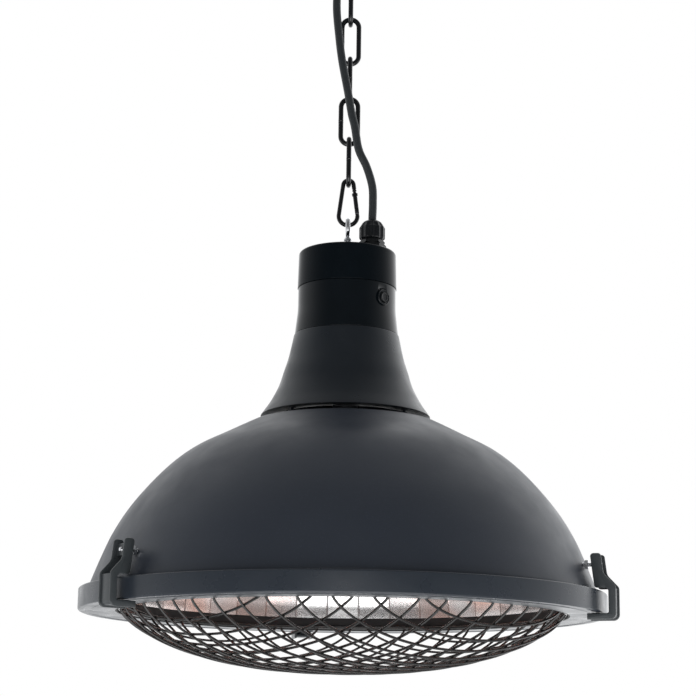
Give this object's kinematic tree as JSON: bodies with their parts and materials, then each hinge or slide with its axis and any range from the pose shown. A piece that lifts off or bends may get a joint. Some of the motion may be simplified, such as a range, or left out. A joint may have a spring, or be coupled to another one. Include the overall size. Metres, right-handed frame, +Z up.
{
  "type": "hanging patio heater",
  "caption": "Round dome-shaded electric heater with a ring heating tube and a wire guard, hung by a chain and a snap hook from a ceiling plate.",
  "frame": {"origin": "centre of the ceiling plate's top face, which meets the ceiling", "axes": "+Z up, against the ceiling; +X to the right, and the push button stands on the front right, between +X and -Y"},
  "size_m": [0.5029, 0.5117, 0.7651],
  "materials": {
    "grey_enamel": "fine matte anthracite enamel",
    "dark_enamel": "matte dark enamel",
    "black_plastic": "glossy black",
    "black_chain": "glossy black coating",
    "bright_zinc": "bright zinc plating",
    "polished_sheet": "polished facets",
    "black_rubber": "matte rubber",
    "guard_wire": "dark coated wire",
    "plain_steel": "plain steel",
    "quartz": "quartz heating tube",
    "white_ceramic": "plain ceramic",
    "cream_plastic": "moulded plastic",
    "green_board": "circuit board"
  },
  "bodies": {
    "ceiling": {"ceiling_plate": "plain_steel", "hook_nut": "plain_steel", "canopy_cup": "dark_enamel", "ceiling_hook": "black_chain", "ceiling_terminal_block": "cream_plastic", "ceiling_cord_grip": "black_plastic", "canopy_tail": "black_rubber", "power_cable": "black_rubber"},
    "link_1": {"chain_link_1": "black_chain"},
    "link_2": {"chain_link_2": "black_chain"},
    "link_3": {"chain_link_3": "black_chain"},
    "link_4": {"chain_link_4": "black_chain"},
    "link_5": {"chain_link_5": "black_chain"},
    "snap": {"snap_hook": "black_chain"},
    "gate": {"snap_hook_gate": "black_chain", "snap_hook_pin": "bright_zinc"},
    "heater": {"eye_bolt": "bright_zinc", "eye_bolt_nut": "bright_zinc", "gland_body": "black_plastic", "gland_nut": "black_plastic", "gland_locknut": "black_plastic", "gland_seal": "black_rubber", "supply_tail": "black_rubber", "cap_shell": "black_plastic", "control_band": "black_plastic", "button_bezel": "black_plastic", "push_switch": "cream_plastic", "terminal_block": "cream_plastic", "control_board": "green_board", "chassis": "plain_steel", "lead_conduit": "plain_steel", "neck_flare": "dark_enamel", "vent_post_1": "dark_enamel", "vent_post_2": "dark_enamel", "vent_post_3": "dark_enamel", "vent_post_4": "dark_enamel", "dome_shade": "grey_enamel", "rim_ring": "grey_enamel", "inner_ring": "dark_enamel", "reflector": "polished_sheet", "guard": "guard_wire", "clamp_1": "grey_enamel", "clamp_2": "grey_enamel", "clamp_3": "grey_enamel", "clamp_bolt_1": "bright_zinc", "clamp_bolt_2": "bright_zinc", "clamp_bolt_3": "bright_zinc", "clamp_nut_1": "bright_zinc", "clamp_nut_2": "bright_zinc", "clamp_nut_3": "bright_zinc", "heating_tube": "quartz", "tube_end_left": "white_ceramic", "tube_end_right": "white_ceramic", "tube_clip_1": "bright_zinc", "tube_clip_2": "bright_zinc", "tube_clip_3": "bright_zinc", "element_lead_left": "white_ceramic", "element_lead_right": "white_ceramic", "thermal_cutout": "cream_plastic"},
    "button": {"power_button": "black_plastic"}
  },
  "joints": [
    {"name": "link_1_swing", "type": "hinge", "parent": "ceiling", "child": "link_1", "pos_m": [0, 0, -0.07], "axis": [1, 0, 0], "range_deg": [-15, 15], "deforming": ["power_cable"]},
    {"name": "link_2_swing", "type": "hinge", "parent": "link_1", "child": "link_2", "pos_m": [0, 0, -0.1122], "axis": [0, 1, 0], "range_deg": [-15, 15]},
    {"name": "link_3_swing", "type": "hinge", "parent": "link_2", "child": "link_3", "pos_m": [0, 0, -0.1549], "axis": [1, 0, 0], "range_deg": [-15, 15]},
    {"name": "link_4_swing", "type": "hinge", "parent": "link_3", "child": "link_4", "pos_m": [0, 0, -0.1976], "axis": [0, 1, 0], "range_deg": [-15, 15]},
    {"name": "link_5_swing", "type": "hinge", "parent": "link_4", "child": "link_5", "pos_m": [0, 0, -0.2403], "axis": [1, 0, 0], "range_deg": [-15, 15]},
    {"name": "snap_hook_swing", "type": "hinge", "parent": "link_5", "child": "snap", "pos_m": [0, 0, -0.283], "axis": [0, 1, 0], "range_deg": [-15, 15]},
    {"name": "gate_swing", "type": "hinge", "parent": "snap", "child": "gate", "pos_m": [0.00894, 0, -0.31198], "axis": [0, -1, 0], "range_deg": [0, 20], "stiffness_Nm_per_rad": 0.01, "springref_deg": -5.73},
    {"name": "heater_swing", "type": "hinge", "parent": "snap", "child": "heater", "pos_m": [0, 0, -0.3247], "axis": [1, 0, 0], "range_deg": [-15, 15]},
    {"name": "power_button_press", "type": "slide", "parent": "heater", "child": "button", "axis": [-0.7193, 0.6947, 0], "range_m": [0, 0.0015], "stiffness_N_per_m": 300, "springref_m": -0.0005}
  ]
}
